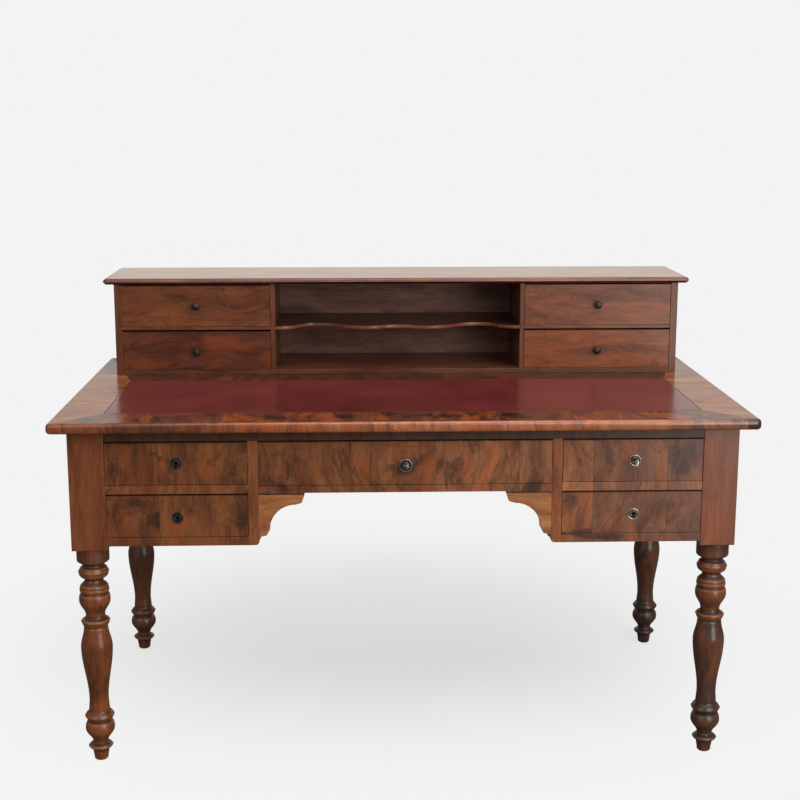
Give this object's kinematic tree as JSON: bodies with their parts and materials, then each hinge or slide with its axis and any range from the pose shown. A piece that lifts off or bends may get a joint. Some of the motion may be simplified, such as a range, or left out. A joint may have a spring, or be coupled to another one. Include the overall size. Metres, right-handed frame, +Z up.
{
  "type": "writing desk",
  "caption": "Walnut writing desk on turned legs, with a leather top, locking drawers round a kneehole and a low gallery of small drawers with an open middle.",
  "frame": {"origin": "On the floor under the middle of the desktop's outline.", "axes": "+X to the right of a person facing the front, +Y from the front to the back, +Z up."},
  "size_m": [1.5, 0.82, 1.018],
  "materials": {
    "walnut_veneer": "french polished",
    "walnut_top": "french polished",
    "walnut_carcase": "french polished",
    "turned_walnut": "french polished",
    "pine": "planed",
    "leather": "glazed",
    "blackened_lock": "dark patina",
    "nickelled_lock": "worn satin",
    "dark_bronze": "dark patina",
    "steel_key": "polished"
  },
  "bodies": {
    "desk": {"desktop": "walnut_top", "leather_inset": "leather", "front_left_leg": "turned_walnut", "front_right_leg": "turned_walnut", "back_left_leg": "turned_walnut", "back_right_leg": "turned_walnut", "top_rail": "walnut_carcase", "left_middle_rail": "walnut_carcase", "right_middle_rail": "walnut_carcase", "left_bottom_rail": "walnut_carcase", "right_bottom_rail": "walnut_carcase", "knee_rail": "walnut_carcase", "left_divider": "walnut_carcase", "right_divider": "walnut_carcase", "left_bracket": "walnut_carcase", "right_bracket": "walnut_carcase", "left_side_apron": "walnut_carcase", "right_side_apron": "walnut_carcase", "back_apron": "walnut_carcase", "drawer_partitions": "walnut_carcase", "drawer_runners": "pine", "drawer_stops": "pine", "gallery_top": "walnut_top", "left_gallery_side": "walnut_carcase", "right_gallery_side": "walnut_carcase", "gallery_bottom": "walnut_carcase", "gallery_back": "pine", "gallery_dividers": "walnut_carcase", "gallery_drawer_shelves": "walnut_carcase", "gallery_centre_shelf": "walnut_carcase"},
    "left_upper_drawer": {"left_upper_drawer_front": "walnut_veneer", "left_upper_drawer_box": "pine", "left_upper_lock": "blackened_lock"},
    "left_lower_drawer": {"left_lower_drawer_front": "walnut_veneer", "left_lower_drawer_box": "pine", "left_lower_lock": "blackened_lock"},
    "right_upper_drawer": {"right_upper_drawer_front": "walnut_veneer", "right_upper_drawer_box": "pine", "right_upper_lock": "nickelled_lock"},
    "right_lower_drawer": {"right_lower_drawer_front": "walnut_veneer", "right_lower_drawer_box": "pine", "right_lower_lock": "nickelled_lock"},
    "centre_drawer": {"centre_drawer_front": "walnut_veneer", "centre_drawer_box": "pine", "centre_drawer_knob": "dark_bronze"},
    "gallery_left_upper_drawer": {"gallery_left_upper_drawer_front": "walnut_veneer", "gallery_left_upper_drawer_box": "pine", "gallery_left_upper_drawer_knob": "dark_bronze"},
    "gallery_left_lower_drawer": {"gallery_left_lower_drawer_front": "walnut_veneer", "gallery_left_lower_drawer_box": "pine", "gallery_left_lower_drawer_knob": "dark_bronze"},
    "gallery_right_upper_drawer": {"gallery_right_upper_drawer_front": "walnut_veneer", "gallery_right_upper_drawer_box": "pine", "gallery_right_upper_drawer_knob": "dark_bronze"},
    "gallery_right_lower_drawer": {"gallery_right_lower_drawer_front": "walnut_veneer", "gallery_right_lower_drawer_box": "pine", "gallery_right_lower_drawer_knob": "dark_bronze"},
    "key": {"key": "steel_key"},
    "lock_bolt": {"right_upper_bolt": "steel_key"}
  },
  "joints": [
    {"name": "left_upper_drawer_slide", "type": "slide", "parent": "desk", "child": "left_upper_drawer", "axis": [0, -1, 0], "range_m": [0, 0.4]},
    {"name": "left_lower_drawer_slide", "type": "slide", "parent": "desk", "child": "left_lower_drawer", "axis": [0, -1, 0], "range_m": [0, 0.4]},
    {"name": "right_upper_drawer_slide", "type": "slide", "parent": "desk", "child": "right_upper_drawer", "axis": [0, -1, 0], "range_m": [0, 0.4]},
    {"name": "right_lower_drawer_slide", "type": "slide", "parent": "desk", "child": "right_lower_drawer", "axis": [0, -1, 0], "range_m": [0, 0.4]},
    {"name": "centre_drawer_slide", "type": "slide", "parent": "desk", "child": "centre_drawer", "axis": [0, -1, 0], "range_m": [0, 0.4]},
    {"name": "gallery_left_upper_drawer_slide", "type": "slide", "parent": "desk", "child": "gallery_left_upper_drawer", "axis": [0, -1, 0], "range_m": [0, 0.16]},
    {"name": "gallery_left_lower_drawer_slide", "type": "slide", "parent": "desk", "child": "gallery_left_lower_drawer", "axis": [0, -1, 0], "range_m": [0, 0.16]},
    {"name": "gallery_right_upper_drawer_slide", "type": "slide", "parent": "desk", "child": "gallery_right_upper_drawer", "axis": [0, -1, 0], "range_m": [0, 0.16]},
    {"name": "gallery_right_lower_drawer_slide", "type": "slide", "parent": "desk", "child": "gallery_right_lower_drawer", "axis": [0, -1, 0], "range_m": [0, 0.16]},
    {"name": "key_turn", "type": "hinge", "parent": "right_upper_drawer", "child": "key", "pos_m": [0.4915, -0.365, 0.6835], "axis": [0, 1, 0], "range_deg": [0, 360]},
    {"name": "bolt_throw", "type": "slide", "parent": "right_upper_drawer", "child": "lock_bolt", "axis": [0, 0, 1], "range_m": [0, 0.007]}
  ],
  "couplings": [
    {"joint": "bolt_throw", "follows": "key_turn", "m_per_rad": 0.00111}
  ]
}
